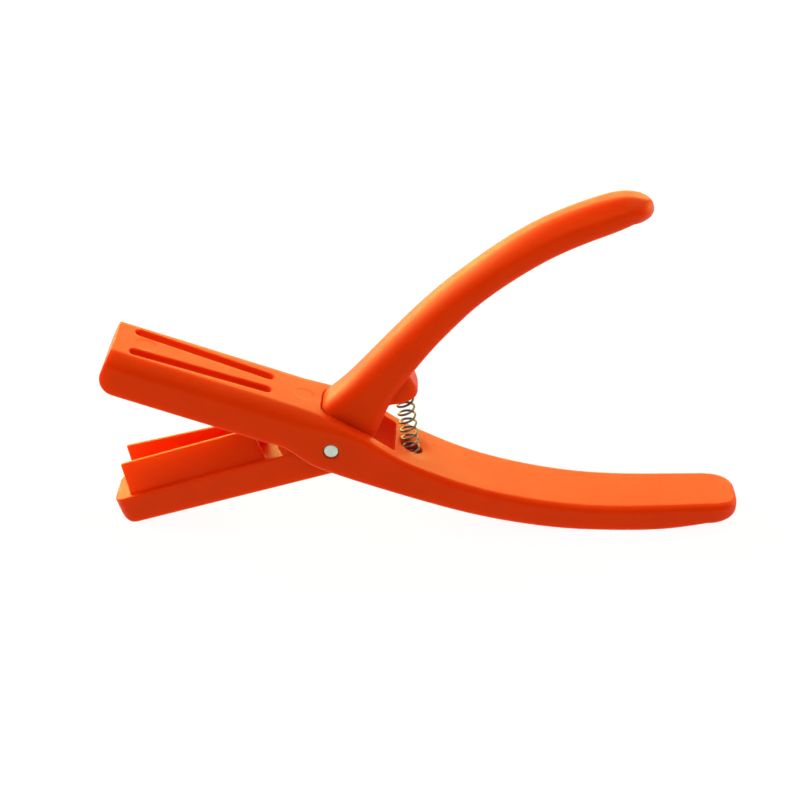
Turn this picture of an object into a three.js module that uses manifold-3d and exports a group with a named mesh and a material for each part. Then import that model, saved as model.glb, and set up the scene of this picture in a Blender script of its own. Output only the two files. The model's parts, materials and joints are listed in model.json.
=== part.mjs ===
// Spring clamp with a slotted channel jaw: a pliers-type hand clamp of two crossing plastic mouldings,
// a steel pivot pin and a steel compression spring. Millimetres, +Z up.
// The model is built around the pivot axis (the Y axis), with the jaws towards -X and the handles
// towards +X, and is then moved so that its origin is the centre of the base it stands on.
import * as THREE from "three";
import { mergeVertices } from "three/addons/utils/BufferGeometryUtils.js";
import Module from "manifold-3d";

const wasm = await Module();
wasm.setup();

// ---- driving dimensions -------------------------------------------------------------------------
const BODY_WIDTH = 23.2; // outer moulding, at the jaw and the pivot
const HANDLE_TAPER = 0.0255; // half-width lost for each millimetre along the lower handle
const INNER_WIDTH = 14.0; // inner moulding, everywhere
const SIDE_CLEARANCE = 0.3; // between the inner moulding and each cheek

const UPPER_JAW_TILT = 19.35; // degrees that the upper jaw rises from the pivot to its tip
const UPPER_JAW_LENGTH = 62.7; // pivot to the top of the tip
const UPPER_JAW_TOP = 8.0; // top face above the jaw's axis
const UPPER_JAW_BOTTOM = -3.35; // lower edges below the jaw's axis
const UPPER_TIP_RADIUS = 5.7;
const UPPER_TIP_LEAN = 0.11; // the tip face leans out this much for each millimetre down
const UPPER_TOP_WALL = 2;
const UPPER_TIP_WALL = 1.3;
const JAW_TOP_FILLET = 4.4;
const MOULD_EDGE = 0.9; // small rounding of the other long edges

const SLOT_FAR_END = 58; // distance of the slots' ends from the pivot
const SLOT_NEAR_END = 19.5;
const SLOT_WIDTH = 3.2;
const SLOT_CENTRE_AT_TIP = 5.45; // from the middle plane, at the far end
const SLOT_TOE_IN = 2.95; // degrees that each slot closes towards the pivot

const LOWER_JAW_TILT = 17.55; // degrees that the lower jaw falls from the pivot to its tip
const LOWER_JAW_LENGTH = 62.8;
const PLATE_BOTTOM_AT_TIP = -8;
const PLATE_BOTTOM_AT_PIVOT = -9;
const LOWER_TIP_RADIUS = 4;
const PLATE_CORNER_RADIUS = 3;
const RIB_THICKNESS = 1.2;
const RIB_FAR_END = 58.2; // at the base; the end leans back by RIB_END_LEAN at the top
const RIB_NEAR_END = 19.2;
const RIB_END_LEAN = 1.1;
const RIB_TOP_AT_TIP = 9.5;
const RIB_TOP_AT_PIVOT = 8.3;
const RIB_CENTRE_AT_TIP = 5.0;
const RIB_TOE_IN = 3.4;

const PIN_RADIUS = 2;
const PIN_END_RECESS = 0.3;
const PIN_FIT = 0.05; // radial clearance in the cheeks
const PIN_RUNNING_FIT = 0.09; // radial clearance in the turning hub
const HUB_RADIUS = 6.2;
const HEEL_RADIUS = 8.8; // the hub's larger round below the upper jaw's axis

const POCKET_FRONT = -2.8; // the pocket that the upper handle rises through, along X
const POCKET_BACK = 16.6;
const POCKET_FRONT_RADIUS = 4; // plan corners
const POCKET_BACK_RADIUS = 0.8;

const SPRING_RADIUS = 2.5;
const SPRING_WIRE = 0.65;
const SPRING_FOOT = new THREE.Vector2(21.3, -9.8); // floor of the socket in the deck
const SPRING_HEAD = new THREE.Vector2(19.1, 11.7); // seat under the upper handle
const SPRING_TURNS = 9.25;
const SOCKET_RADIUS = 2.85;

// ---- small helpers ------------------------------------------------------------------------------
const radians = THREE.MathUtils.degToRad;
const ARC_STEPS = 4;

function toSolid(geometry) {
  const bare = geometry.index ? geometry.clone() : geometry;
  bare.deleteAttribute("normal");
  bare.deleteAttribute("uv");
  const merged = mergeVertices(bare, 1e-4);
  const mesh = new wasm.Mesh({
    numProp: 3,
    vertProperties: new Float32Array(merged.attributes.position.array),
    triVerts: new Uint32Array(merged.index.array),
  });
  return new wasm.Manifold(mesh);
}

function toGeometry(solid) {
  const mesh = solid.getMesh();
  const geometry = new THREE.BufferGeometry();
  geometry.setAttribute("position", new THREE.BufferAttribute(mesh.vertProperties, 3));
  geometry.setIndex(new THREE.BufferAttribute(mesh.triVerts, 1));
  geometry.computeVertexNormals();
  return geometry;
}

// A side outline in the XZ plane, extruded along Y between the two given values.
function sideExtrusion(shape, fromY, toY) {
  const geometry = new THREE.ExtrudeGeometry(shape, {
    depth: toY - fromY,
    bevelEnabled: false,
    curveSegments: 10,
  });
  geometry.translate(0, 0, -toY);
  geometry.rotateX(Math.PI / 2);
  return toSolid(geometry);
}

// A round bar along the pivot axis, centred on the middle plane.
function pivotBar(radius, length) {
  return toSolid(new THREE.CylinderGeometry(radius, radius, length, 48));
}

// A round bar between two points of the middle plane.
function bar(from, to, radius) {
  const axis = new THREE.Vector3(to.x - from.x, 0, to.y - from.y);
  const geometry = new THREE.CylinderGeometry(radius, radius, axis.length(), 32);
  geometry.translate(0, axis.length() / 2, 0);
  const turn = new THREE.Quaternion().setFromUnitVectors(
    new THREE.Vector3(0, 1, 0),
    axis.clone().normalize(),
  );
  geometry.applyQuaternion(turn);
  geometry.translate(from.x, 0, from.y);
  return toSolid(geometry);
}

// Points of a jaw, by distance from the pivot towards the tip and height above the jaw's axis.
function upperJaw(along, above) {
  const tilt = radians(UPPER_JAW_TILT);
  return new THREE.Vector2(
    -along * Math.cos(tilt) + above * Math.sin(tilt),
    along * Math.sin(tilt) + above * Math.cos(tilt),
  );
}

function lowerJaw(along, above) {
  const tilt = radians(LOWER_JAW_TILT);
  return new THREE.Vector2(
    -along * Math.cos(tilt) - above * Math.sin(tilt),
    -along * Math.sin(tilt) + above * Math.cos(tilt),
  );
}

// One cross-section of a loft: a rounded rectangle between a top and a bottom point of the side view.
function section({ top, bottom, halfWidth, topRadius, bottomRadius }) {
  const height = top.distanceTo(bottom);
  const lower = 0.98 * Math.min(bottomRadius, halfWidth, height / 2);
  const upper = 0.98 * Math.min(topRadius, halfWidth, height - lower);
  const corners = [
    { y: halfWidth - upper, h: height - upper, r: upper, start: 0 },
    { y: -halfWidth + upper, h: height - upper, r: upper, start: 90 },
    { y: -halfWidth + lower, h: lower, r: lower, start: 180 },
    { y: halfWidth - lower, h: lower, r: lower, start: 270 },
  ];
  const points = [];
  for (const corner of corners) {
    for (let i = 0; i <= ARC_STEPS; i += 1) {
      const angle = radians(corner.start + (90 * i) / ARC_STEPS);
      const share = (corner.h + corner.r * Math.sin(angle)) / height;
      const y = corner.y + corner.r * Math.cos(angle);
      const x = bottom.x + (top.x - bottom.x) * share;
      const z = bottom.y + (top.y - bottom.y) * share;
      points.push(new THREE.Vector3(x, y, z));
    }
  }
  return points;
}

// A closed solid through a row of cross-sections, with a flat cap at each end.
function loft(stations) {
  const rings = stations.map(section);
  const ringSize = rings[0].length;
  const positions = rings.flat().flatMap((p) => [p.x, p.y, p.z]);
  const index = [];
  for (let s = 0; s + 1 < rings.length; s += 1) {
    for (let i = 0; i < ringSize; i += 1) {
      const a = s * ringSize + i;
      const b = s * ringSize + ((i + 1) % ringSize);
      index.push(a, b, a + ringSize);
      index.push(b, b + ringSize, a + ringSize);
    }
  }
  const last = (rings.length - 1) * ringSize;
  for (let i = 1; i + 1 < ringSize; i += 1) {
    index.push(0, i + 1, i);
    index.push(last, last + i, last + i + 1);
  }
  const geometry = new THREE.BufferGeometry();
  geometry.setAttribute("position", new THREE.Float32BufferAttribute(positions, 3));
  geometry.setIndex(index);
  return toSolid(geometry);
}

// Stations on smooth curves through the given ones.
function smooth(stations, steps) {
  const pick = (read) => new THREE.CatmullRomCurve3(stations.map(read), false, "centripetal");
  const tops = pick((s) => new THREE.Vector3(s.top.x, s.top.y, 0));
  const bottoms = pick((s) => new THREE.Vector3(s.bottom.x, s.bottom.y, 0));
  const sizes = pick((s) => new THREE.Vector3(s.halfWidth, s.topRadius, s.bottomRadius));
  const result = [];
  for (let i = 0; i <= steps; i += 1) {
    const top = tops.getPoint(i / steps);
    const bottom = bottoms.getPoint(i / steps);
    const size = sizes.getPoint(i / steps);
    result.push({
      top: new THREE.Vector2(top.x, top.y),
      bottom: new THREE.Vector2(bottom.x, bottom.y),
      halfWidth: size.x,
      topRadius: size.y,
      bottomRadius: size.z,
    });
  }
  return result;
}

function station(topX, topZ, bottomX, bottomZ, halfWidth, topRadius, bottomRadius) {
  return {
    top: new THREE.Vector2(topX, topZ),
    bottom: new THREE.Vector2(bottomX, bottomZ),
    halfWidth,
    topRadius,
    bottomRadius,
  };
}

// ---- outer moulding: upper jaw and lower handle -------------------------------------------------
const HALF_BODY = BODY_WIDTH / 2;
const HALF_INNER = INNER_WIDTH / 2;
const HALF_POCKET = HALF_INNER + SIDE_CLEARANCE;

function upperJawStation(along, bottomHeight, lean = 0) {
  return {
    top: upperJaw(along, UPPER_JAW_TOP),
    bottom: upperJaw(along + lean * (UPPER_JAW_TOP - bottomHeight), bottomHeight),
    halfWidth: HALF_BODY,
    topRadius: JAW_TOP_FILLET,
    bottomRadius: MOULD_EDGE,
  };
}

// The tip's lower corner is a quarter round in the side view.
function upperTipStations() {
  const stations = [];
  const steps = 6;
  for (let i = 0; i <= steps; i += 1) {
    const angle = radians((90 * i) / steps);
    const along = UPPER_JAW_LENGTH - UPPER_TIP_RADIUS * (1 - Math.cos(angle));
    const bottomHeight = UPPER_JAW_BOTTOM + UPPER_TIP_RADIUS * (1 - Math.sin(angle));
    stations.push(upperJawStation(along, bottomHeight, UPPER_TIP_LEAN));
  }
  return stations;
}

// Top and bottom of the lower handle at a distance along X, with its width from the taper.
function handleStation(x, topZ, bottomZ) {
  const halfWidth = HALF_BODY - HANDLE_TAPER * Math.max(0, x - 8);
  return station(x, topZ, x, bottomZ, halfWidth, 1.7, MOULD_EDGE);
}

// The handle's rounded end: in plan an ellipse, in the side view a blunt nose.
function handleEnd() {
  const start = handleStation(101, -17.65, -23.4);
  const end = new THREE.Vector2(109.8, -19.5);
  const stations = [];
  const steps = 6;
  for (let i = 0; i <= steps; i += 1) {
    const angle = radians((84 * i) / steps);
    const reach = Math.sin(angle);
    const fullness = Math.cos(angle);
    const x = start.top.x + (end.x - start.top.x) * reach;
    stations.push({
      top: new THREE.Vector2(x, end.y + (start.top.y - end.y) * Math.sqrt(fullness)),
      bottom: new THREE.Vector2(x, end.y + (start.bottom.y - end.y) * Math.sqrt(fullness)),
      halfWidth: start.halfWidth * Math.pow(fullness, 0.6),
      topRadius: start.topRadius,
      bottomRadius: start.bottomRadius,
    });
  }
  return stations;
}

function outerEnvelope() {
  const lobeAndHandle = smooth(
    [
      upperJawStation(UPPER_JAW_LENGTH - UPPER_TIP_RADIUS - 3, UPPER_JAW_BOTTOM),
      upperJawStation(30, UPPER_JAW_BOTTOM),
      upperJawStation(17, UPPER_JAW_BOTTOM),
      station(-9.1, 11.7, -12.6, 0.8, HALF_BODY, 4.2, MOULD_EDGE),
      station(-4.2, 10, -8.6, -2.1, HALF_BODY, 3.6, MOULD_EDGE),
      station(0.3, 8.3, -5.3, -4.5, HALF_BODY, 2.8, MOULD_EDGE),
      station(5, 5.9, 0, -6.9, HALF_BODY, 2, MOULD_EDGE),
      station(10.7, 2.3, 8, -9.95, HALF_BODY, 1.5, MOULD_EDGE),
      station(17, -2, 15.5, -12.7, HALF_BODY - 0.2, 1.4, MOULD_EDGE),
      handleStation(24, -6, -15.6),
      handleStation(34.3, -10.4, -18.95),
      handleStation(46, -14.05, -21.95),
      handleStation(60, -16.85, -24.35),
      handleStation(70, -17.9, -25.15),
      handleStation(79, -18.2, -25.4),
      handleStation(90, -18, -25.05),
      handleStation(101, -17.65, -23.4),
    ],
    40,
  );
  return loft([...upperTipStations(), ...lobeAndHandle, ...handleEnd().slice(1)]);
}

// The channel under the upper jaw and the pocket at the pivot, as one hollow.
function channelAndPocket() {
  const innerTip = UPPER_JAW_LENGTH - UPPER_TIP_WALL;
  const roof = UPPER_JAW_TOP - UPPER_TOP_WALL;
  const tilt = radians(UPPER_JAW_TILT);
  const roofAtBack = roof / Math.cos(tilt) - POCKET_BACK * Math.tan(tilt);
  const channel = new THREE.Shape([
    upperJaw(innerTip, -20),
    new THREE.Vector2(POCKET_BACK, -30),
    new THREE.Vector2(POCKET_BACK, roofAtBack),
    upperJaw(innerTip, roof),
  ]);

  const front = POCKET_FRONT_RADIUS;
  const back = POCKET_BACK_RADIUS;
  const plan = new THREE.Shape();
  plan.absarc(POCKET_FRONT + front, front - HALF_POCKET, front, Math.PI, 1.5 * Math.PI, false);
  plan.absarc(POCKET_BACK - back, back - HALF_POCKET, back, 1.5 * Math.PI, 2 * Math.PI, false);
  plan.absarc(POCKET_BACK - back, HALF_POCKET - back, back, 0, 0.5 * Math.PI, false);
  plan.absarc(POCKET_FRONT + front, HALF_POCKET - front, front, 0.5 * Math.PI, Math.PI, false);
  const pocket = new THREE.ExtrudeGeometry(plan, {
    depth: 60,
    bevelEnabled: false,
    curveSegments: 5,
  });
  pocket.translate(0, 0, -30);
  return sideExtrusion(channel, -HALF_POCKET, HALF_POCKET).add(toSolid(pocket));
}

// One slot through the jaw's top wall; side is -1 or 1.
function slot(side) {
  const length = SLOT_FAR_END - SLOT_NEAR_END;
  const half = SLOT_WIDTH / 2;
  const outline = new THREE.Shape();
  outline.absarc(length - half, 0, half, -Math.PI / 2, Math.PI / 2, false);
  outline.absarc(half, 0, half, Math.PI / 2, (3 * Math.PI) / 2, false);
  const geometry = new THREE.ExtrudeGeometry(outline, {
    depth: 12,
    bevelEnabled: false,
    curveSegments: 6,
  });
  const centreAtNearEnd = SLOT_CENTRE_AT_TIP - length * Math.sin(radians(SLOT_TOE_IN));
  geometry.rotateZ(radians(180 - side * SLOT_TOE_IN));
  geometry.translate(-SLOT_NEAR_END, side * centreAtNearEnd, 1);
  geometry.rotateY(radians(UPPER_JAW_TILT));
  return toSolid(geometry);
}

function makeUpperJawLowerHandle() {
  const pinHole = pivotBar(PIN_RADIUS + PIN_FIT, 2 * BODY_WIDTH);
  const socketTop = SPRING_FOOT.clone().lerp(SPRING_HEAD, 0.62);
  const socket = bar(SPRING_FOOT, socketTop, SOCKET_RADIUS);
  return outerEnvelope()
    .subtract(channelAndPocket())
    .subtract(slot(-1))
    .subtract(slot(1))
    .subtract(pinHole)
    .subtract(socket);
}

// ---- inner moulding: lower jaw and upper handle -------------------------------------------------
function lowerPlate() {
  const corner = LOWER_TIP_RADIUS;
  const outline = new THREE.Shape();
  const start = lowerJaw(LOWER_JAW_LENGTH, 0);
  outline.moveTo(start.x, start.y);
  for (let i = 0; i <= 6; i += 1) {
    const angle = radians((90 * i) / 6);
    const along = LOWER_JAW_LENGTH - corner * (1 - Math.cos(angle));
    const point = lowerJaw(along, PLATE_BOTTOM_AT_TIP + corner * (1 - Math.sin(angle)));
    outline.lineTo(point.x, point.y);
  }
  const heel = lowerJaw(0, PLATE_BOTTOM_AT_PIVOT);
  outline.lineTo(heel.x, heel.y);
  outline.lineTo(0, 0);
  const side = sideExtrusion(outline, -HALF_INNER, HALF_INNER);

  const r = PLATE_CORNER_RADIUS;
  const plan = new THREE.Shape();
  plan.moveTo(20, -HALF_INNER);
  plan.lineTo(20, HALF_INNER);
  plan.lineTo(-LOWER_JAW_LENGTH + r, HALF_INNER);
  plan.absarc(-LOWER_JAW_LENGTH + r, HALF_INNER - r, r, Math.PI / 2, Math.PI, false);
  plan.absarc(-LOWER_JAW_LENGTH + r, -HALF_INNER + r, r, Math.PI, (3 * Math.PI) / 2, false);
  const tower = new THREE.ExtrudeGeometry(plan, {
    depth: 60,
    bevelEnabled: false,
    curveSegments: 6,
  });
  tower.translate(0, 0, -30);
  tower.rotateY(radians(-LOWER_JAW_TILT));
  return side.intersect(toSolid(tower));
}

// One of the two thin ribs that pass through the slots; side is -1 or 1.
function rib(side) {
  const outline = new THREE.Shape([
    new THREE.Vector2(-RIB_FAR_END, -1),
    new THREE.Vector2(-RIB_NEAR_END, -1),
    new THREE.Vector2(-RIB_NEAR_END, 0),
    new THREE.Vector2(-RIB_NEAR_END - RIB_END_LEAN, RIB_TOP_AT_PIVOT - 1),
    new THREE.Vector2(-RIB_NEAR_END - RIB_END_LEAN - 1.4, RIB_TOP_AT_PIVOT),
    new THREE.Vector2(-RIB_FAR_END + RIB_END_LEAN, RIB_TOP_AT_TIP),
  ]);
  const geometry = new THREE.ExtrudeGeometry(outline, {
    depth: RIB_THICKNESS,
    bevelEnabled: false,
  });
  geometry.translate(RIB_FAR_END, 0, -RIB_THICKNESS / 2);
  geometry.rotateX(Math.PI / 2);
  geometry.rotateZ(radians(-side * RIB_TOE_IN));
  geometry.translate(-RIB_FAR_END, side * RIB_CENTRE_AT_TIP, 0);
  geometry.rotateY(radians(-LOWER_JAW_TILT));
  return toSolid(geometry);
}

function upperHandle() {
  const w = HALF_INNER;
  const run = smooth(
    [
      station(-3.4, 4.4, 7.6, -3, w, 3, 2.3),
      station(-2, 9.2, 10.8, 0.5, w, 4.2, 2.3),
      station(2.05, 13.9, 13.2, 5.7, w, 4.6, 2.3),
      station(8.4, 21, 16.4, 12.8, w, 5.6, 2.2),
      station(14.8, 28.3, 21.5, 20.2, w, 6.2, 2.2),
      station(21.15, 35.25, 27.3, 28, w, 6.6, 2.2),
      station(27.35, 41.45, 33.1, 34.6, w, 6.7, 2.2),
      station(33.55, 46.9, 38.8, 40.3, w, 6.7, 2.2),
      station(45.75, 56.3, 50, 49, w, 6.3, 2),
      station(57.75, 63.2, 61.4, 55.8, w, 6, 1.9),
      station(69.85, 67.75, 72.6, 60.7, w, 5.4, 1.9),
      station(74.3, 68.6, 76.5, 62.4, w, 5, 1.9),
    ],
    30,
  );
  const from = run[run.length - 1];
  const end = new THREE.Vector2(81.9, 65.5);
  const steps = 5;
  for (let i = 1; i <= steps; i += 1) {
    const angle = radians((84 * i) / steps);
    const reach = Math.sin(angle);
    const fullness = Math.sqrt(Math.cos(angle));
    const top = from.top.clone().lerp(new THREE.Vector2(end.x, from.top.y + 0.5), reach);
    const bottom = from.bottom.clone().lerp(new THREE.Vector2(end.x, end.y - 0.9), reach);
    const middle = top.clone().lerp(bottom, 0.5);
    run.push({
      top: middle.clone().lerp(top, fullness),
      bottom: middle.clone().lerp(bottom, fullness),
      halfWidth: w * fullness,
      topRadius: from.topRadius,
      bottomRadius: from.bottomRadius,
    });
  }
  return loft(run);
}

// The lug under the upper handle that the spring pushes on.
function springLug() {
  const outline = new THREE.Shape([
    new THREE.Vector2(15, 10.1),
    new THREE.Vector2(18.2, 10.5),
    new THREE.Vector2(22.3, 12.3),
    new THREE.Vector2(22.9, 13.2),
    new THREE.Vector2(22.8, 14.4),
    new THREE.Vector2(20.6, 19.5),
    new THREE.Vector2(16, 20),
  ]);
  return sideExtrusion(outline, -4.5, 4.5);
}

// The block in front of the hub, whose front stands upright when the clamp is open.
function hubBlock() {
  const outline = new THREE.Shape([
    new THREE.Vector2(-14.3, -2),
    new THREE.Vector2(-14.2, 1.5),
    new THREE.Vector2(-9, 2.9),
    new THREE.Vector2(0, 5),
    new THREE.Vector2(2, 0),
    new THREE.Vector2(0, -6),
    new THREE.Vector2(-12, -6),
  ]);
  return sideExtrusion(outline, -HALF_INNER, HALF_INNER);
}

function makeLowerJawUpperHandle() {
  const aboveJawAxis = new THREE.Shape([
    upperJaw(12, 0),
    upperJaw(-12, 0),
    upperJaw(-12, 12),
    upperJaw(12, 12),
  ]);
  const heel = pivotBar(HEEL_RADIUS, INNER_WIDTH)
    .subtract(sideExtrusion(aboveJawAxis, -HALF_BODY, HALF_BODY));
  const pinHole = pivotBar(PIN_RADIUS + PIN_RUNNING_FIT, 2 * BODY_WIDTH);
  const seatMouth = SPRING_FOOT.clone().lerp(SPRING_HEAD, 0.8);
  const seatEnd = SPRING_FOOT.clone().lerp(SPRING_HEAD, 1.14);
  const seat = bar(seatMouth, seatEnd, SPRING_RADIUS + 0.35);
  return lowerPlate()
    .add(pivotBar(HUB_RADIUS, INNER_WIDTH))
    .add(heel)
    .add(hubBlock())
    .add(rib(-1))
    .add(rib(1))
    .add(upperHandle())
    .add(springLug())
    .subtract(seat)
    .subtract(pinHole);
}

// ---- pin and spring -----------------------------------------------------------------------------
function makePin() {
  const length = BODY_WIDTH - 2 * PIN_END_RECESS;
  const chamfer = 0.3;
  const profile = [
    new THREE.Vector2(0, -length / 2),
    new THREE.Vector2(PIN_RADIUS - chamfer, -length / 2),
    new THREE.Vector2(PIN_RADIUS, -length / 2 + chamfer),
    new THREE.Vector2(PIN_RADIUS, length / 2 - chamfer),
    new THREE.Vector2(PIN_RADIUS - chamfer, length / 2),
    new THREE.Vector2(0, length / 2),
  ];
  return new THREE.LatheGeometry(profile, 48);
}

class Helix extends THREE.Curve {
  constructor(foot, head, radius, turns) {
    super();
    this.foot = new THREE.Vector3(foot.x, 0, foot.y);
    this.axis = new THREE.Vector3(head.x - foot.x, 0, head.y - foot.y);
    this.across = new THREE.Vector3(0, 1, 0).cross(this.axis).normalize();
    this.radius = radius;
    this.turns = turns;
  }

  getPoint(t) {
    const angle = 2 * Math.PI * this.turns * t;
    return this.foot
      .clone()
      .addScaledVector(this.axis, t)
      .addScaledVector(this.across, this.radius * Math.cos(angle))
      .addScaledVector(new THREE.Vector3(0, 1, 0), this.radius * Math.sin(angle));
  }
}

function makeSpring() {
  const wireRadius = SPRING_WIRE / 2;
  const gap = 0.3;
  const axis = SPRING_HEAD.clone().sub(SPRING_FOOT);
  const inset = axis.clone().setLength(wireRadius + gap);
  const foot = SPRING_FOOT.clone().add(inset);
  const head = SPRING_HEAD.clone().sub(inset).add(axis.clone().setLength(2.4));
  const wire = new THREE.Shape();
  wire.absarc(0, 0, wireRadius, 0, 2 * Math.PI, false);
  return new THREE.ExtrudeGeometry(wire, {
    steps: 190,
    curveSegments: 3,
    extrudePath: new Helix(foot, head, SPRING_RADIUS - wireRadius, SPRING_TURNS),
  });
}

// ---- assembly -----------------------------------------------------------------------------------
const orangePlastic = { color: 0xe8480c, roughness: 0.42, metalness: 0 };
const pinSteel = { color: 0xc9ccc8, roughness: 0.3, metalness: 1 };
const springSteel = { color: 0xa9a7a2, roughness: 0.25, metalness: 1 };

function piece(name, geometry, look) {
  const mesh = new THREE.Mesh(geometry, new THREE.MeshStandardMaterial(look));
  mesh.name = name;
  return mesh;
}

const clamp = new THREE.Group();
clamp.add(piece("upper_jaw_lower_handle", toGeometry(makeUpperJawLowerHandle()), orangePlastic));
clamp.add(piece("lower_jaw_upper_handle", toGeometry(makeLowerJawUpperHandle()), orangePlastic));
clamp.add(piece("pivot_pin", makePin(), pinSteel));
clamp.add(piece("return_spring", makeSpring(), springSteel));

const bounds = new THREE.Box3().setFromObject(clamp);
const centre = bounds.getCenter(new THREE.Vector3());
clamp.position.set(-centre.x, -centre.y, -bounds.min.z);

const group = new THREE.Group();
group.add(clamp);
group.updateMatrixWorld(true);

export default group;
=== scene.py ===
"""Looks of the spring clamp: two orange mouldings, the pivot pin and the return spring.

Each moulding is described as a distance field in millimetres round the pivot axis, with every edge rounded
as a moulded edge is, and its surface is then drawn as a mesh and moved to the row frame in metres.
"""

import json
import math

import bpy
import numpy as np
from mathutils import Matrix, Vector


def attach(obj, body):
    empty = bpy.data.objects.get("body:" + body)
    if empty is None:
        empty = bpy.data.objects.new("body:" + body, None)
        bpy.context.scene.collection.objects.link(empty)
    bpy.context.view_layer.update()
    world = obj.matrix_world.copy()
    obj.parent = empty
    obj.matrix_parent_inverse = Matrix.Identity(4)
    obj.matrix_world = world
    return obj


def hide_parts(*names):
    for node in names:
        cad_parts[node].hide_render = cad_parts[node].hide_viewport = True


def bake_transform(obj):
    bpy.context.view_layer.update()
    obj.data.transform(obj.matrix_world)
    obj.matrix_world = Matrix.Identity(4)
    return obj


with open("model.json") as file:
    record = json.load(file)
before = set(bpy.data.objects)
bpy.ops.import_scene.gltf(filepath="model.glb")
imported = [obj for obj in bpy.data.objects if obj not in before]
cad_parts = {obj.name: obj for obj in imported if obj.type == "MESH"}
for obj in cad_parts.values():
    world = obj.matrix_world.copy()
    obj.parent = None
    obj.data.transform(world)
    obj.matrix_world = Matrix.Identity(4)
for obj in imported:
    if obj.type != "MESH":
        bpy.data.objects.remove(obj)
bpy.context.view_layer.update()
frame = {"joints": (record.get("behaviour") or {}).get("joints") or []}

PIVOT = Vector(frame["joints"][0]["pos_m"])
MM = 0.001
OUTER, INNER = "outer_lever", "inner_lever"

# ---- driving dimensions, as in the CAD source ---------------------------------------------------
HALF_BODY = 11.6
HANDLE_TAPER = 0.0255
HALF_INNER = 7.0
HALF_POCKET = 7.3
UPPER_TILT = math.radians(19.35)
UPPER_LENGTH = 62.7
UPPER_TOP = 8.0
UPPER_BOTTOM = -3.35
UPPER_ROOF = 6.0
TIP_LEAN = 0.11
TIP_RADIUS = 5.7
LOWER_TILT = math.radians(17.55)
LOWER_LENGTH = 62.8
SLOT_FAR, SLOT_NEAR = 58.0, 19.5
SLOT_WIDTH = 3.2
RIB_FAR, RIB_NEAR = 58.2, 19.2
RIB_END_LEAN = 1.1
SLOT_CENTRE = 5.45
SLOT_TOE_IN = math.radians(2.95)
POCKET_FRONT, POCKET_BACK = -2.8, 16.6
PIN_RADIUS = 2.0
HUB_RADIUS = 6.2
HEEL_RADIUS = 8.8
SPRING_FOOT = (21.3, -9.8)
SPRING_HEAD = (19.1, 11.7)
SPRING_RADIUS = 2.5
SPRING_WIRE = 0.65
SOCKET_RADIUS = 2.85
JAW_TOP_FILLET = 4.4
MOULD_EDGE = 0.9
UPPER_TIP_WALL = 1.3
PLATE_BOTTOM_AT_TIP, PLATE_BOTTOM_AT_PIVOT = -8, -9
LOWER_TIP_RADIUS = 4
PLATE_CORNER = 3.0
RIB_TOE_IN = math.radians(3.4)
POCKET_FRONT_CORNER, POCKET_BACK_CORNER = 4.0, 0.8

# ---- further dimensions, not all of them in the CAD source ----------------------------------------
LOWER_HANDLE_ROUND = 101  # where the lower handle's round end begins, along X
LOWER_HANDLE_END = (109.75, -19.5)
UPPER_HANDLE_END = (81.9, 65.3)
CUT_EDGE = 0.3  # rounding of the rims of the channel, the pocket and the slots
MARK_DEPTH, MARK_EDGE = 0.08, 0.06
DISH_DEPTH, DISH_RADIUS = 0.45, 4.5
CHEEK_HOLE_GAP, CHEEK_HOLE_EDGE = 0.14, 0.35
HUB_HOLE_GAP = 0.09
SEAT_GAP = 0.35
PIN_RECESS = 0.4
SPRING_TURNS, CLOSED_TURNS = 10.2, 1.1
CLOSED_PITCH = 0.35  # of the closed end coils, against 1 for the open ones
FLOOR_HALF = 3.0  # metres
FINE_STEP, QUICK_STEP = 0.25, 0.4


def upper_jaw(along, above):
    """A side-view point by distance from the pivot to the upper jaw's tip, and height above its axis."""
    c, s = math.cos(UPPER_TILT), math.sin(UPPER_TILT)
    return (-along * c + above * s, along * s + above * c)


def lower_jaw(along, above):
    """The same for the lower jaw, whose tip falls away from the pivot."""
    c, s = math.cos(LOWER_TILT), math.sin(LOWER_TILT)
    return (-along * c - above * s, -along * s + above * c)


# ---- curves and distance fields -----------------------------------------------------------------
def spline(points, per_span=10):
    """A natural cubic curve through rows of numbers, spaced by the square root of the chords."""
    p = np.array(points, float)
    t = np.concatenate([[0], np.cumsum(np.linalg.norm(np.diff(p[:, :2], axis=0), axis=1) ** 0.5)])
    n, h = len(p), np.diff(t)
    system, right = np.eye(n), np.zeros_like(p)
    for i in range(1, n - 1):
        system[i, i - 1 : i + 2] = h[i - 1], 2 * (h[i - 1] + h[i]), h[i]
        right[i] = 6 * ((p[i + 1] - p[i]) / h[i] - (p[i] - p[i - 1]) / h[i - 1])
    m = np.linalg.solve(system, right)
    rows = []
    for i in range(n - 1):
        for q in np.arange(per_span) / per_span:
            a, b = 1 - q, q
            bend = ((a**3 - a) * m[i] + (b**3 - b) * m[i + 1]) * h[i] ** 2 / 6
            rows.append(a * p[i] + b * p[i + 1] + bend)
    rows.append(p[-1])
    return np.array(rows)


class Grid:
    """Sample points over a box in millimetres round the pivot."""

    def __init__(self, low, high, step):
        self.low, self.step = np.array(low, float), step
        axes = [np.arange(a, b + step, step, dtype=np.float32) for a, b in zip(low, high)]
        self.x = axes[0][:, None, None]
        self.y = axes[1][None, :, None]
        self.z = axes[2][None, None, :]
        self.side = np.abs(self.y)

    def jaw(self, tilt, sign):
        """Distance along a jaw and height above its axis, for the upper jaw (sign 1) or the lower (-1)."""
        c, s = math.cos(tilt), math.sin(tilt)
        return -self.x * c + sign * self.z * s, sign * self.x * s + self.z * c


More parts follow.
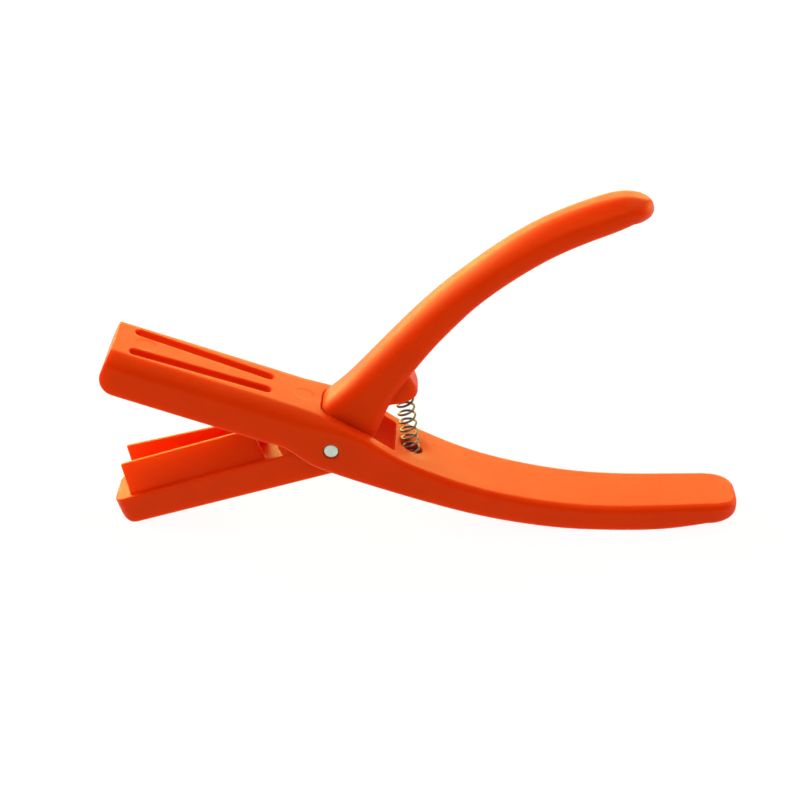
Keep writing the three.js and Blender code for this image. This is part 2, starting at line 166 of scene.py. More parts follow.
def near_line(points, u, v):
    """Distance from an open line, and the place along it as a row number."""
    best = np.full(np.broadcast_shapes(u.shape, v.shape), 1e9, np.float32)
    place = np.zeros_like(best)
    for i, (a, b) in enumerate(zip(points[:-1], points[1:])):
        ex, ey = float(b[0] - a[0]), float(b[1] - a[1])
        wu, wv = u - float(a[0]), v - float(a[1])
        q = np.clip((wu * ex + wv * ey) / (ex * ex + ey * ey), 0, 1)
        d = (wu - ex * q) ** 2 + (wv - ey * q) ** 2
        nearer = d < best
        best = np.where(nearer, d, best)
        place = np.where(nearer, i + q, place)
    return np.sqrt(best), place


def outline(points, u, v):
    """Signed distance from a closed outline, negative inside."""
    points = [(float(p[0]), float(p[1])) for p in points]
    best = np.full(np.broadcast_shapes(u.shape, v.shape), 1e9, np.float32)
    sign = np.ones_like(best)
    for a, b in zip(points, points[-1:] + points[:-1]):
        ex, ey = b[0] - a[0], b[1] - a[1]
        if ex * ex + ey * ey < 1e-12:
            continue
        wu, wv = u - a[0], v - a[1]
        q = np.clip((wu * ex + wv * ey) / (ex * ex + ey * ey), 0, 1)
        best = np.minimum(best, (wu - ex * q) ** 2 + (wv - ey * q) ** 2)
        above, below = v >= a[1], v < b[1]
        left = ex * wv > ey * wu
        flip = (above & below & left) | (~above & ~below & ~left)
        sign = np.where(flip, -sign, sign)
    return sign * np.sqrt(best)


def both(a, b, radius):
    """What is in both shapes, its edge rounded."""
    u, v = np.maximum(a + radius, 0), np.maximum(b + radius, 0)
    return np.minimum(np.maximum(a, b), -radius) + np.sqrt(u * u + v * v)


def cut(a, b, radius):
    return both(a, -b, radius)


def joined(a, b, radius):
    """Either shape, with a fillet in the corner between them."""
    return -both(-a, -b, radius)


def rod(grid, start, end, radius):
    """A round hole or bar between two points of the middle plane, flat at its start."""
    dx, dz = end[0] - start[0], end[1] - start[1]
    length = math.hypot(dx, dz)
    dx, dz = dx / length, dz / length
    wx, wz = grid.x - start[0], grid.z - start[1]
    along = wx * dx + wz * dz
    across = np.sqrt((wx * dz - wz * dx) ** 2 + grid.y**2)
    return np.maximum(np.maximum(across - radius, -along), along - length)


def surface(field, grid):
    """The zero surface of a field as points in millimetres and four-sided faces."""
    inside = field < 0
    n = [s - 1 for s in field.shape]
    offsets = [(i, j, k) for i in (0, 1) for j in (0, 1) for k in (0, 1)]
    count = np.zeros(n, np.int8)
    for i, j, k in offsets:
        count += inside[i : i + n[0], j : j + n[1], k : k + n[2]]
    cells = np.argwhere((count > 0) & (count < 8))
    number = np.full(n, -1, np.int64)
    number[tuple(cells.T)] = np.arange(len(cells))
    corner = {o: field[tuple((cells + o).T)] for o in offsets}
    total, hits = np.zeros((len(cells), 3)), np.zeros(len(cells))
    for a in offsets:
        for axis in range(3):
            if a[axis]:
                continue
            b = tuple(1 if q == axis else a[q] for q in range(3))
            crossed = (corner[a] < 0) != (corner[b] < 0)
            share = corner[a][crossed] / (corner[a][crossed] - corner[b][crossed])
            spot = np.tile(np.array(a, float), (len(share), 1))
            spot[:, axis] = share
            total[crossed] += spot
            hits[crossed] += 1
    points = cells + total / hits[:, None]
    faces = []
    for axis in range(3):
        p, q = (axis + 1) % 3, (axis + 2) % 3
        head = [slice(None)] * 3
        tail = [slice(None)] * 3
        head[axis], tail[axis] = slice(0, -1), slice(1, None)
        for leaving in (True, False):
            first, second = inside[tuple(head)], inside[tuple(tail)]
            here = np.argwhere(first & ~second if leaving else ~first & second)
            around = [(0, 0), (-1, 0), (-1, -1), (0, -1)]
            if not leaving:
                around.reverse()
            ring = []
            for dp, dq in around:
                cell = here.copy()
                cell[:, p] += dp
                cell[:, q] += dq
                ring.append(number[tuple(cell.T)])
            faces.append(np.stack(ring, 1))
    points = settle(points, field)
    return grid.low + points * grid.step, np.concatenate(faces)


def settle(points, field):
    """Moves the points onto the zero surface, along the field's slope."""
    top = np.array(field.shape) - 2.001

    def sample(at):
        at = np.clip(at, 0.001, top)
        base = at.astype(int)
        part = at - base
        value, slope = 0, np.zeros((len(at), 3))
        for i in (0, 1):
            for j in (0, 1):
                for k in (0, 1):
                    f = field[base[:, 0] + i, base[:, 1] + j, base[:, 2] + k]
                    wx = part[:, 0] if i else 1 - part[:, 0]
                    wy = part[:, 1] if j else 1 - part[:, 1]
                    wz = part[:, 2] if k else 1 - part[:, 2]
                    value = value + f * wx * wy * wz
                    slope[:, 0] += f * (1 if i else -1) * wy * wz
                    slope[:, 1] += f * (1 if j else -1) * wx * wz
                    slope[:, 2] += f * (1 if k else -1) * wx * wy
        return value, slope

    for _ in range(3):
        value, slope = sample(points)
        size = np.maximum((slope**2).sum(1), 1e-6)
        move = slope * (value / size)[:, None]
        points = points - np.clip(move, -0.5, 0.5)
    return points


def add_piece(mesh, material, node, body=None):
    """A piece that stands for a CAD node and, where a body is given, rides on it."""
    piece = bpy.data.objects.new(mesh.name, mesh)
    bpy.context.scene.collection.objects.link(piece)
    piece.data.materials.append(material)
    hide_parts(node)
    if body:
        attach(piece, body)
    return piece


def surface_mesh(name, points_mm, faces):
    """A smooth mesh in the row frame, from an array of four-sided faces."""
    mesh = bpy.data.meshes.new(name)
    points = points_mm * MM + np.array(PIVOT)
    mesh.vertices.add(len(points))
    mesh.vertices.foreach_set("co", points.astype(np.float32).ravel())
    mesh.loops.add(faces.size)
    mesh.loops.foreach_set("vertex_index", faces.astype(np.int32).ravel())
    mesh.polygons.add(len(faces))
    sides = faces.shape[1]
    mesh.polygons.foreach_set("loop_start", np.arange(0, faces.size, sides, dtype=np.int32))
    mesh.polygons.foreach_set("use_smooth", np.ones(len(faces), bool))
    mesh.update(calc_edges=True)
    mesh.validate()
    return mesh


def listed_mesh(name, points_mm, faces):
    """A smooth mesh in the row frame, from a list of faces that may have any number of sides."""
    mesh = bpy.data.meshes.new(name)
    mesh.from_pydata([tuple(Vector(p) * MM + PIVOT) for p in points_mm], [], faces)
    mesh.validate()
    mesh.polygons.foreach_set("use_smooth", np.ones(len(mesh.polygons), bool))
    return mesh


# ---- outer moulding: upper jaw and lower handle -------------------------------------------------
def outer_curves():
    """Top and bottom lines of the outer moulding in the side view, from the jaw to the handle's end.
    Rows are X, Z and the rounding of the long edge there."""
    jaw_top = [(*upper_jaw(u, UPPER_TOP), JAW_TOP_FILLET) for u in (72, 60, 50, 40, 30, 22, 16)]
    jaw_bottom = [(*upper_jaw(u, UPPER_BOTTOM), MOULD_EDGE) for u in (72, 60, 48, 36, 28, 22, 17)]
    top = spline(
        jaw_top
        + [
            (-9.1, 11.65, JAW_TOP_FILLET),
            (-4.2, 9.95, 3.8),
            (0.3, 8.25, 3.0),
            (5, 5.8, 2.2),
            (10.7, 2.3, 1.5),
            (17, -2.1, 1.3),
            (24, -5.9, 1.5),
            (34.3, -10.4, 1.7),
            (46, -14.05, 1.8),
            (60, -16.85, 1.8),
            (70, -17.9, 1.8),
            (79, -18.2, 1.8),
            (90, -18.0, 1.8),
            (LOWER_HANDLE_ROUND, -17.65, 1.8),
        ]
    )
    bottom = spline(
        jaw_bottom
        + [
            (-12.6, 0.9, MOULD_EDGE),
            (-8.6, -2.0, MOULD_EDGE),
            (-5.3, -4.4, MOULD_EDGE),
            (0, -6.8, MOULD_EDGE),
            (8, -9.85, MOULD_EDGE),
            (15.5, -12.6, MOULD_EDGE),
            (24, -15.6, MOULD_EDGE),
            (34.3, -18.95, MOULD_EDGE),
            (46, -21.95, MOULD_EDGE),
            (60, -24.35, MOULD_EDGE),
            (70, -25.15, MOULD_EDGE),
            (79, -25.4, MOULD_EDGE),
            (90, -25.1, 1.0),
            (LOWER_HANDLE_ROUND, -23.5, 1.2),
        ]
    )
    return top, bottom


def arc(centre, radius, start, end, steps=12):
    return [
        (centre[0] + radius * math.cos(math.radians(a)), centre[1] + radius * math.sin(math.radians(a)))
        for a in np.linspace(start, end, steps)
    ]


def edge_rounding(grid, top, bottom, gain=1.0, shift=0.0):
    """How round the long edges are at each place, between the roundings of a top and a bottom line."""
    to_top, at_top = near_line(top, grid.x, grid.z)
    to_bottom, at_bottom = near_line(bottom, grid.x, grid.z)
    share = to_bottom / (to_top + to_bottom + 1e-6)
    share = np.clip(share * gain - shift, 0, 1)
    share = share * share * (3 - 2 * share)
    over = np.interp(at_top, np.arange(len(top)), top[:, 2])
    under = np.interp(at_bottom, np.arange(len(bottom)), bottom[:, 2])
    return (under + (over - under) * share).astype(np.float32)


def outer_side(grid):
    """The outer moulding's side outline, and how round its long edges are at each place."""
    top, bottom = outer_curves()
    end = LOWER_HANDLE_END
    nose_top, nose_bottom = [], []
    for a in np.linspace(0, 90, 16)[1:]:
        reach, level = math.sin(math.radians(a)), max(0, math.cos(math.radians(a)))
        x = top[-1][0] + (end[0] - top[-1][0]) * reach
        nose_top.append((x, end[1] + (top[-1][1] - end[1]) * level**0.42))
        nose_bottom.append((x, end[1] + (bottom[-1][1] - end[1]) * level**0.55))
    side = outline(list(top) + nose_top + nose_bottom[::-1] + list(bottom[::-1]), grid.x, grid.z)
    return side, edge_rounding(grid, top, bottom, 1.6, 0.3)


def upper_tip(grid, body):
    """The body cut off by the upper jaw's leaning tip face, with its large lower corner."""
    along, above = grid.jaw(UPPER_TILT, 1)
    face = (along - UPPER_LENGTH + TIP_LEAN * (above - UPPER_TOP)) / math.hypot(1, TIP_LEAN)
    tip = both(face, UPPER_BOTTOM - above, TIP_RADIUS)
    edge = 0.5 * np.clip((along - 57) / 4, 0.01, 1)
    return np.where(along > 50, both(body, tip, edge), body)


def outer_plan(grid):
    """The outer moulding from above: parallel along the jaw, tapering along the handle, round at its end."""
    line = [(-80, HALF_BODY), (6, HALF_BODY)]
    line += [(x, HALF_BODY - HANDLE_TAPER * (x - 8)) for x in (12, 30, 60, LOWER_HANDLE_ROUND)]
    wide = line[-1][1]
    reach = LOWER_HANDLE_END[0] - LOWER_HANDLE_ROUND
    for a in np.linspace(0, 90, 16)[1:]:
        full = max(0, math.cos(math.radians(a))) ** 0.6
        line.append((LOWER_HANDLE_ROUND + reach * math.sin(math.radians(a)), wide * full))
    return outline([(-80, -9)] + line + [(line[-1][0], -9)], grid.x, grid.side)


def slots(grid):
    """Both slots through the jaw's top, which close towards the pivot."""
    along, above = grid.jaw(UPPER_TILT, 1)
    c, s = math.cos(SLOT_TOE_IN), math.sin(SLOT_TOE_IN)
    half = SLOT_WIDTH / 2
    back = SLOT_FAR - along
    off = grid.side - SLOT_CENTRE
    run, across = back * c - off * s, back * s + off * c
    length = SLOT_FAR - SLOT_NEAR
    nearest = np.clip(run, half, length - half)
    round_ended = np.sqrt((run - nearest) ** 2 + across**2) - half
    return np.maximum(round_ended, 2 - above)


def ejector_mark(along, height, side, centre, face, radius=2.7):
    """The sunken disc that an ejector pin leaves on a face at this height above a jaw's axis."""
    distance = np.sqrt((along - centre) ** 2 + side**2)
    disc = MARK_DEPTH / (1 + np.exp(np.clip((distance - radius) / MARK_EDGE, -30, 30)))
    return np.where(np.abs(height - face) < 1.2, disc, 0).astype(np.float32)


def outer_moulding(step):
    """The upper jaw, cheeks and lower handle, with the channel, pocket, slots, pin hole and socket cut."""
    grid = Grid((-66, -12.5, -27), (111, 12.5, 30), step)
    side, rounding = outer_side(grid)
    body = upper_tip(grid, both(side, outer_plan(grid), rounding))
    along, above = grid.jaw(UPPER_TILT, 1)
    for centre in (54.3, 10.6):
        body = body + ejector_mark(along, above, grid.side, centre, UPPER_TOP)
    dish = np.sqrt((grid.x - 21.5) ** 2 + grid.y**2)
    body = body + np.where(np.abs(grid.z + 5) < 4, DISH_DEPTH * np.exp(-((dish / DISH_RADIUS) ** 4)), 0)

    slope = math.tan(UPPER_TILT)
    roof_at_back = UPPER_ROOF / math.cos(UPPER_TILT) - POCKET_BACK * slope
    inner_tip = UPPER_LENGTH - UPPER_TIP_WALL
    channel = outline(
        [
            upper_jaw(inner_tip, -20),
            (POCKET_BACK, -30),
            (POCKET_BACK, roof_at_back),
            upper_jaw(inner_tip, UPPER_ROOF),
        ],
        grid.x,
        grid.z,
    )
    channel = both(channel, grid.side - HALF_POCKET, 0.6)
    front, back = POCKET_FRONT_CORNER, POCKET_BACK_CORNER
    plan = (
        arc((POCKET_FRONT + front, front - HALF_POCKET), front, 180, 270)
        + arc((POCKET_BACK - back, back - HALF_POCKET), back, 270, 360, 6)
        + arc((POCKET_BACK - back, HALF_POCKET - back), back, 0, 90, 6)
        + arc((POCKET_FRONT + front, HALF_POCKET - front), front, 90, 180)
    )
    pocket = outline(plan, grid.x, grid.y)
    body = cut(body, channel, CUT_EDGE)
    body = cut(body, pocket + 0 * grid.z, CUT_EDGE)
    body = cut(body, slots(grid), CUT_EDGE)
    hole = np.sqrt(grid.x**2 + grid.z**2) - PIN_RADIUS - CHEEK_HOLE_GAP
    body = cut(body, hole, CHEEK_HOLE_EDGE)
    top = tuple(SPRING_FOOT[i] + 0.62 * (SPRING_HEAD[i] - SPRING_FOOT[i]) for i in (0, 1))
    body = cut(body, rod(grid, SPRING_FOOT, top, SOCKET_RADIUS), 0.25)
    return surface(body, grid)


# ---- inner moulding: lower jaw and upper handle -------------------------------------------------
def lower_plate(grid):
    """The lower jaw's floor, with a round lower corner at its tip and round corners in plan."""
    tip = []
    for a in np.linspace(0, 90, 10):
        rise = LOWER_TIP_RADIUS * (1 - math.sin(math.radians(a)))
        run = LOWER_TIP_RADIUS * (1 - math.cos(math.radians(a)))
        tip.append(lower_jaw(LOWER_LENGTH - run, PLATE_BOTTOM_AT_TIP + rise))
    rest = [lower_jaw(0, PLATE_BOTTOM_AT_PIVOT), (0, 0)]
    side = outline([lower_jaw(LOWER_LENGTH, 0)] + tip + rest, grid.x, grid.z)
    along, _ = grid.jaw(LOWER_TILT, -1)
    corner = PLATE_CORNER
    out = np.maximum(along - (LOWER_LENGTH - corner), 0)
    across = np.maximum(grid.side - (HALF_INNER - corner), 0)
    plan = np.sqrt(out**2 + across**2) - corner
    return both(side, plan, 0.4)


def ribs(grid):
    """Two thin ribs: upright at the tip, and leaning in towards each other near the pivot."""
    along, above = grid.jaw(LOWER_TILT, -1)
    near_top, far_top = RIB_NEAR + RIB_END_LEAN, RIB_FAR - RIB_END_LEAN
    foot = [(RIB_FAR, -1), (RIB_NEAR, -1), (RIB_NEAR, 0)]
    profile = foot + [(near_top, 7.7), (near_top + 0.6, 8.4), (far_top, 9.5)]
    side = outline(profile, along, above)
    lean = np.clip(RIB_FAR - along, 0, 40) * math.tan(RIB_TOE_IN)
    height = np.clip(above / 9.2, 0, 1)
    outer_face = 5.6 - lean * height
    inner_face = 4.4 - lean * (0.45 + 0.55 * height)
    middle, half = (outer_face + inner_face) / 2, (outer_face - inner_face) / 2
    return both(side, np.abs(grid.side - middle) - half, 0.25)


def upper_handle(grid):
    """The curved bar of the upper handle, from the hub to its round end."""
    top = spline(
        [
            (-3.6, 4.4, 3.0),
            (-2.62, 9.2, 4.2),
            (1.9, 13.9, 4.6),
            (8.4, 21.0, 5.6),
            (14.8, 28.25, 5.9),
            (21.15, 35.2, 6.1),
            (27.35, 41.4, 6.2),
            (33.55, 46.8, 6.2),
            (45.75, 56.15, 6.2),
            (57.75, 63.0, 6.1),
            (69.85, 67.6, 5.8),
            (74.3, 68.5, 5.4),
        ]
    )
    bottom = spline(
        [
            (7.6, -3, 2.4),
            (10.8, 0.5, 2.4),
            (13.2, 5.7, 2.4),
            (16.4, 12.8, 2.3),
            (21.4, 20.3, 2.2),
            (27.25, 28.0, 2.3),
            (33.05, 34.6, 2.3),
            (38.75, 40.35, 2.3),
            (49.95, 49.0, 2.3),
            (61.4, 55.7, 2.2),
            (72.6, 60.5, 2.1),
            (76.5, 62.1, 2.1),
        ]
    )
    a, b, tip = top[-1], bottom[-1], UPPER_HANDLE_END
    middle = ((a[0] + b[0]) / 2, (a[1] + b[1]) / 2)
    half = ((a[0] - b[0]) / 2, (a[1] - b[1]) / 2)
    reach = (tip[0] - middle[0], tip[1] - middle[1])
    nose = []
    for angle in np.linspace(0, 180, 22)[1:-1]:
        t = math.radians(angle)
        full = math.cos(t) ** 0.6 if angle < 90 else -(abs(math.cos(t)) ** 0.8)
        nose.append(
            (
                middle[0] + half[0] * full + reach[0] * math.sin(t),
                middle[1] + half[1] * full + reach[1] * math.sin(t),
            )
        )
    side = outline(list(top) + nose + list(bottom[::-1]), grid.x, grid.z)
    rounding = edge_rounding(grid, top, bottom)
    beyond = np.clip((grid.x - 69) / 13, 0, 0.995)
    narrow = 6 * (1 - np.sqrt(1 - beyond**2.4))
    return both(side, grid.side - HALF_INNER + narrow, rounding)


def spring_lug(grid):
    """The lug that the spring pushes on: a leaning end with round corners in plan."""
    under = [(15.0, 10.1), (18.2, 10.5), (20.4, 11.4), (22.3, 12.3), (22.9, 13.2)]
    back = [(22.85, 14.4), (22.2, 15.8), (21.3, 17.6), (20.4, 19.5), (16, 20)]
    end, plan_corner = 22.9, 2.8
    out = np.maximum(grid.x - (end - plan_corner), 0)
    across = np.maximum(grid.side - (4.5 - plan_corner), 0)
    plan = np.sqrt(out**2 + across**2) - plan_corner
    return both(outline(under + back, grid.x, grid.z), plan, 0.5)


def hub_block(grid):
    """The block in front of the hub, as wide as the plate, whose front stands upright at rest."""
    points = [(-14.5, -2), (-14.4, 1.5), (-9, 2.9), (0, 5), (2, 0), (0, -6), (-12, -6)]
    return both(outline(points, grid.x, grid.z), grid.side - HALF_INNER, 0.3)


def inner_moulding(step):
    """The lower jaw, hub, upper handle and lug, with the pin hole and the spring's seat cut."""
    grid = Grid((-66, -7.6, -27), (84, 7.6, 70), step)
    body = joined(lower_plate(grid), ribs(grid), 0.3)
    along, above = grid.jaw(LOWER_TILT, -1)
    body = body + ejector_mark(along, above, grid.y + 2.37, 17.7, 0, 2.85)
    body = joined(body, hub_block(grid), 0.3)
    round_hub = both(np.sqrt(grid.x**2 + grid.z**2) - HUB_RADIUS, grid.side - HALF_INNER, 0.3)
    along, above = grid.jaw(UPPER_TILT, 1)
    heel = np.maximum(np.sqrt(grid.x**2 + grid.z**2) - HEEL_RADIUS, above)
    heel = both(heel, grid.side - HALF_INNER, 0.3)
    body = np.minimum(body, np.minimum(round_hub, heel))
    body = joined(body, upper_handle(grid), 0.4)
    body = joined(body, spring_lug(grid), 0.5)
    mouth = tuple(SPRING_FOOT[i] + 0.8 * (SPRING_HEAD[i] - SPRING_FOOT[i]) for i in (0, 1))
    seat_end = tuple(SPRING_FOOT[i] + 1.14 * (SPRING_HEAD[i] - SPRING_FOOT[i]) for i in (0, 1))
    body = cut(body, rod(grid, mouth, seat_end, SPRING_RADIUS + SEAT_GAP), 0.2)
    hole = np.sqrt(grid.x**2 + grid.z**2) - PIN_RADIUS - HUB_HOLE_GAP
    body = cut(body, hole, 0.2)
    return surface(body, grid)


# ---- materials ----------------------------------------------------------------------------------
def new_material(name):
    material = bpy.data.materials.new(name)
    material.use_nodes = True
    nodes, links = material.node_tree.nodes, material.node_tree.links
    nodes.clear()
    output = nodes.new("ShaderNodeOutputMaterial")
    shader = nodes.new("ShaderNodeBsdfPrincipled")
    links.new(shader.outputs["BSDF"], output.inputs["Surface"])
    return material, nodes, links, shader


def noise(nodes, links, scale, detail, stretch=(1, 1, 1)):
    """Noise fixed to the object, with its scale in cycles for each metre."""
    place = nodes.new("ShaderNodeTexCoord")
    mapping = nodes.new("ShaderNodeMapping")
    mapping.inputs["Scale"].default_value = stretch
    texture = nodes.new("ShaderNodeTexNoise")
    texture.inputs["Scale"].default_value = scale
    texture.inputs["Detail"].default_value = detail
    links.new(place.outputs["Object"], mapping.inputs["Vector"])
    links.new(mapping.outputs["Vector"], texture.inputs["Vector"])
    return texture.outputs["Fac"]


def ramp(nodes, links, value, low, high):
    node = nodes.new("ShaderNodeMapRange")
    node.inputs["From Min"].default_value = 0.3
    node.inputs["From Max"].default_value = 0.7
    node.inputs["To Min"].default_value = low
    node.inputs["To Max"].default_value = high
    links.new(value, node.inputs["Value"])
    return node.outputs["Result"]


def mixed(nodes, links, factor, first, second):
    node = nodes.new("ShaderNodeMix")
    node.data_type = "RGBA"
    node.inputs["A"].default_value = first
    node.inputs["B"].default_value = second
    links.new(factor, node.inputs["Factor"])
    return node.outputs["Result"]


def orange_plastic():
    """Satin moulded plastic: slow colour drift, uneven gloss, and the fine grain of a spark-eroded mould."""
    material, nodes, links, shader = new_material("orange_plastic")
    drift = ramp(nodes, links, noise(nodes, links, 60, 3), 0, 1)
    colour = mixed(nodes, links, drift, (0.73, 0.029, 0.0003, 1), (0.77, 0.033, 0.0005, 1))
    links.new(colour, shader.inputs["Base Color"])
    gloss = ramp(nodes, links, noise(nodes, links, 180, 4), 0.42, 0.48)
    links.new(gloss, shader.inputs["Roughness"])
    shader.inputs["IOR"].default_value = 1.5
    shader.inputs["Specular IOR Level"].default_value = 0.3
    shader.inputs["Specular Tint"].default_value = (1, 0.5, 0.05, 1)
    shader.inputs["Subsurface Weight"].default_value = 0.85
    shader.inputs["Subsurface Radius"].default_value = (1.0, 0.9, 0.1)
    shader.inputs["Subsurface Scale"].default_value = 0.004
    grain = noise(nodes, links, 3500, 3)
    bump = nodes.new("ShaderNodeBump")
    bump.inputs["Strength"].default_value = 0.06
    bump.inputs["Distance"].default_value = 0.0001
    links.new(grain, bump.inputs["Height"])
    links.new(bump.outputs["Normal"], shader.inputs["Normal"])
    return material


def pin_steel():
    """Ground dowel steel: silver, with a slow drift in its tone and gloss."""
    material, nodes, links, shader = new_material("pin_steel")
    cloud = ramp(nodes, links, noise(nodes, links, 900, 4), 0, 1)
    colour = mixed(nodes, links, cloud, (0.5, 0.57, 0.49, 1), (0.6, 0.67, 0.58, 1))
    links.new(colour, shader.inputs["Base Color"])
    shader.inputs["Metallic"].default_value = 1
    gloss = ramp(nodes, links, noise(nodes, links, 2500, 3), 0.3, 0.45)
    links.new(gloss, shader.inputs["Roughness"])
    return material


def spring_steel():
    """Dark drawn wire, with a slow drift in its tone and gloss."""
    material, nodes, links, shader = new_material("spring_steel")
    tint = ramp(nodes, links, noise(nodes, links, 700, 3), 0, 1)
    colour = mixed(nodes, links, tint, (0.15, 0.11, 0.1, 1), (0.27, 0.21, 0.21, 1))
    links.new(colour, shader.inputs["Base Color"])
    shader.inputs["Metallic"].default_value = 1
    gloss = ramp(nodes, links, noise(nodes, links, 4000, 2), 0.22, 0.36)
    links.new(gloss, shader.inputs["Roughness"])
    return material


# ---- pin and spring -----------------------------------------------------------------------------
def lathe(profile, sides=64):
    """A turned shape about the pivot axis, from rows of radius and Y that start and end on the axis."""
    points, faces = [(0, profile[0][1], 0)], []
    rings = profile[1:-1]
    for r, y in rings:
        for i in range(sides):
            a = 2 * math.pi * i / sides
            points.append((r * math.cos(a), y, r * math.sin(a)))
    points.append((0, profile[-1][1], 0))
    last = len(points) - 1
    for i in range(sides):
        j = (i + 1) % sides
        faces.append((0, 1 + i, 1 + j))
        for ring in range(len(rings) - 1):
            a, b = 1 + ring * sides, 1 + (ring + 1) * sides
            faces.append((a + i, b + i, b + j, a + j))
        a = 1 + (len(rings) - 1) * sides
        faces.append((last, a + j, a + i))
    return np.array(points), faces


def pin():
    """The dowel, with a rounded edge and a slightly domed end."""
    end, edge = HALF_BODY - PIN_RECESS, 0.3
    flat = PIN_RADIUS - edge
    half = [(0, end), (0.8, end - 0.01), (1.4, end - 0.03), (flat, end - 0.07)]
    for a in map(math.radians, (15, 35, 55, 75, 90)):
        half.append((flat + edge * math.sin(a), end - 0.37 + edge * math.cos(a)))
    return lathe([(r, -y) for r, y in half] + [(r, y) for r, y in half[::-1]])


def spring_line():
    """The wire's middle line: close end coils, and open coils between them."""
    foot, head = np.array(SPRING_FOOT), np.array(SPRING_HEAD)
    axis = (head - foot) / np.linalg.norm(head - foot)
    start = foot + axis * 1.0
    end = head + axis * 1.4
    length = np.linalg.norm(end - start)
    across = np.array([axis[1], -axis[0]]) + 0.12 * axis
    radius = SPRING_RADIUS - SPRING_WIRE / 2
    count = 460
    q = np.linspace(0, 1, count) * SPRING_TURNS
    at_end = (q < CLOSED_TURNS) | (q > SPRING_TURNS - CLOSED_TURNS)
    pitch = np.where(at_end, CLOSED_PITCH, 1.0)
    pitch = np.convolve(np.pad(pitch, 12, mode="edge"), np.ones(25) / 25, "valid")
    rise = np.concatenate([[0], np.cumsum((pitch[1:] + pitch[:-1]) / 2)])
    rise = rise / rise[-1] * length
    turn = 2 * math.pi * q
    x = start[0] + axis[0] * rise + across[0] * radius * np.cos(turn)
    z = start[1] + axis[1] * rise + across[1] * radius * np.cos(turn)
    y = radius * np.sin(turn)
    return np.stack([x, y, z], 1)


def wire(line, radius, sides=12):
    """A round wire along a line, with flat ground ends."""
    tangent = np.gradient(line, axis=0)
    tangent /= np.linalg.norm(tangent, axis=1)[:, None]
    up = np.array([0.05, 0, 1.0])
    first = np.cross(tangent, up)
    first /= np.linalg.norm(first, axis=1)[:, None]
    second = np.cross(tangent, first)
    rings = []
    for a in 2 * math.pi * np.arange(sides) / sides:
        rings.append(line + radius * (math.cos(a) * first + math.sin(a) * second))
    points = np.stack(rings, 1).reshape(-1, 3)
    faces = []
    for i in range(len(line) - 1):
        for j in range(sides):
            k = (j + 1) % sides
            faces.append((i * sides + j, i * sides + k, (i + 1) * sides + k, (i + 1) * sides + j))
    faces.append(tuple(range(sides))[::-1])
    last = (len(line) - 1) * sides
    faces.append(tuple(range(last, last + sides)))
    return points, faces


# ---- build the object ---------------------------------------------------------------------------
plastic = orange_plastic()
step = FINE_STEP
outer = surface_mesh("outer_moulding", *outer_moulding(step))
add_piece(outer, plastic, "upper_jaw_lower_handle", OUTER)
inner = surface_mesh("inner_moulding", *inner_moulding(step))
add_piece(inner, plastic, "lower_jaw_upper_handle", INNER)
dowel = listed_mesh("dowel_pin", *pin())
add_piece(dowel, pin_steel(), "pivot_pin", OUTER)
wound = listed_mesh("coil_spring", *wire(spring_line(), SPRING_WIRE / 2))
coil = add_piece(wound, spring_steel(), "return_spring")


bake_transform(coil)


# ---- floor, light and camera --------------------------------------------------------------------
WARM = (0.85, 0.95, 0.28)
PALE = (0.9, 0.95, 0.5)


def floor():
    """A pale matt floor that gives off light of its own, so that it stays white under the tool."""
    mesh = bpy.data.meshes.new("floor")
    size = FLOOR_HALF
    corners = [(-size, -size, 0), (size, -size, 0), (size, size, 0), (-size, size, 0)]
    mesh.from_pydata(corners, [], [(0, 1, 2, 3)])
    piece = bpy.data.objects.new("floor", mesh)
    piece.location.z = -0.0001
    bpy.context.scene.collection.objects.link(piece)
    material, nodes, links, shader = new_material("pale_floor")
    tone = ramp(nodes, links, noise(nodes, links, 3, 2), 0, 1)
    colour = mixed(nodes, links, tone, (0.07, 0.07, 0.07, 1), (0.08, 0.08, 0.08, 1))
    links.new(colour, shader.inputs["Base Color"])
    shader.inputs["Roughness"].default_value = 0.9
    shader.inputs["Specular IOR Level"].default_value = 0
    shader.inputs["Emission Color"].default_value = (1, 1, 1, 1)
    shader.inputs["Emission Strength"].default_value = 0.94
    piece.data.materials.append(material)


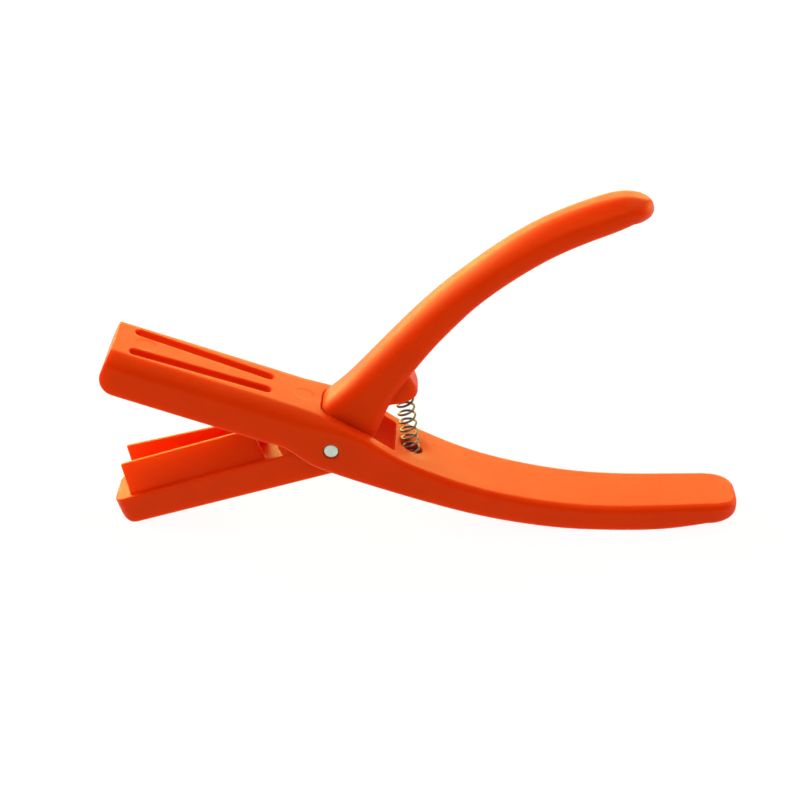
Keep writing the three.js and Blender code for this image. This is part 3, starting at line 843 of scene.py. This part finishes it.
def soft_box(name, place, aim, size, power, colour=(1, 1, 1)):
    """A rectangular area light at a place, turned towards a point, with its power in watts."""
    light = bpy.data.lights.new(name, "AREA")
    light.shape = "RECTANGLE"
    light.size, light.size_y = size
    light.energy = power
    light.color = colour
    lamp = bpy.data.objects.new(name, light)
    lamp.location = place
    lamp.rotation_mode = "QUATERNION"
    lamp.rotation_quaternion = (Vector(aim) - Vector(place)).to_track_quat("-Z", "Y")
    bpy.context.scene.collection.objects.link(lamp)


def sky(strength):
    """An even white world of the given strength."""
    world = bpy.data.worlds.new("studio")
    bpy.context.scene.world = world
    world.use_nodes = True
    background = world.node_tree.nodes["Background"]
    background.inputs["Color"].default_value = (1, 1, 1, 1)
    background.inputs["Strength"].default_value = strength


def camera():
    """At the height and side from which the clamp is seen, tilted by about a third of a degree."""
    azimuth, elevation, roll = math.radians(1.3), math.radians(29.2), math.radians(0.347)
    data = bpy.data.cameras.new("camera")
    data.lens = 77.3
    data.sensor_width = 36
    turn = Matrix.Rotation(azimuth, 4, "Z") @ Matrix.Rotation(math.pi / 2 - elevation, 4, "X")
    turn = Matrix.Rotation(roll, 4, "Y") @ turn
    eye = PIVOT + Vector((0.02838, -0.39904, 0.2324))
    cam = bpy.data.objects.new("camera", data)
    cam.matrix_world = Matrix.Translation(eye) @ turn
    bpy.context.scene.collection.objects.link(cam)
    bpy.context.scene.camera = cam


floor()
soft_box("overhead", (0.3, 0.05, 0.78), (0, 0, 0.03), (0.5, 0.4), 1.8)
soft_box("front_top", (-0.1, -0.4, 0.7), (0, 0, 0.03), (0.6, 0.4), 2.3)
soft_box("back_wall", (0.1, 1.1, 0.42), (0, 0, 0.03), (1.4, 0.7), 15, WARM)
soft_box("back_left", (-0.65, 0.75, 0.3), (0.05, 0, 0.06), (0.6, 0.45), 9, WARM)
soft_box("left", (-0.8, 0.3, 0.5), (0, 0, 0.05), (0.6, 0.5), 8, PALE)
soft_box("right", (0.9, 0.3, 0.3), (0, 0, 0.03), (0.5, 0.4), 4.5, WARM)
sky(0.06)
camera()
bpy.context.scene.view_settings.view_transform = "Standard"
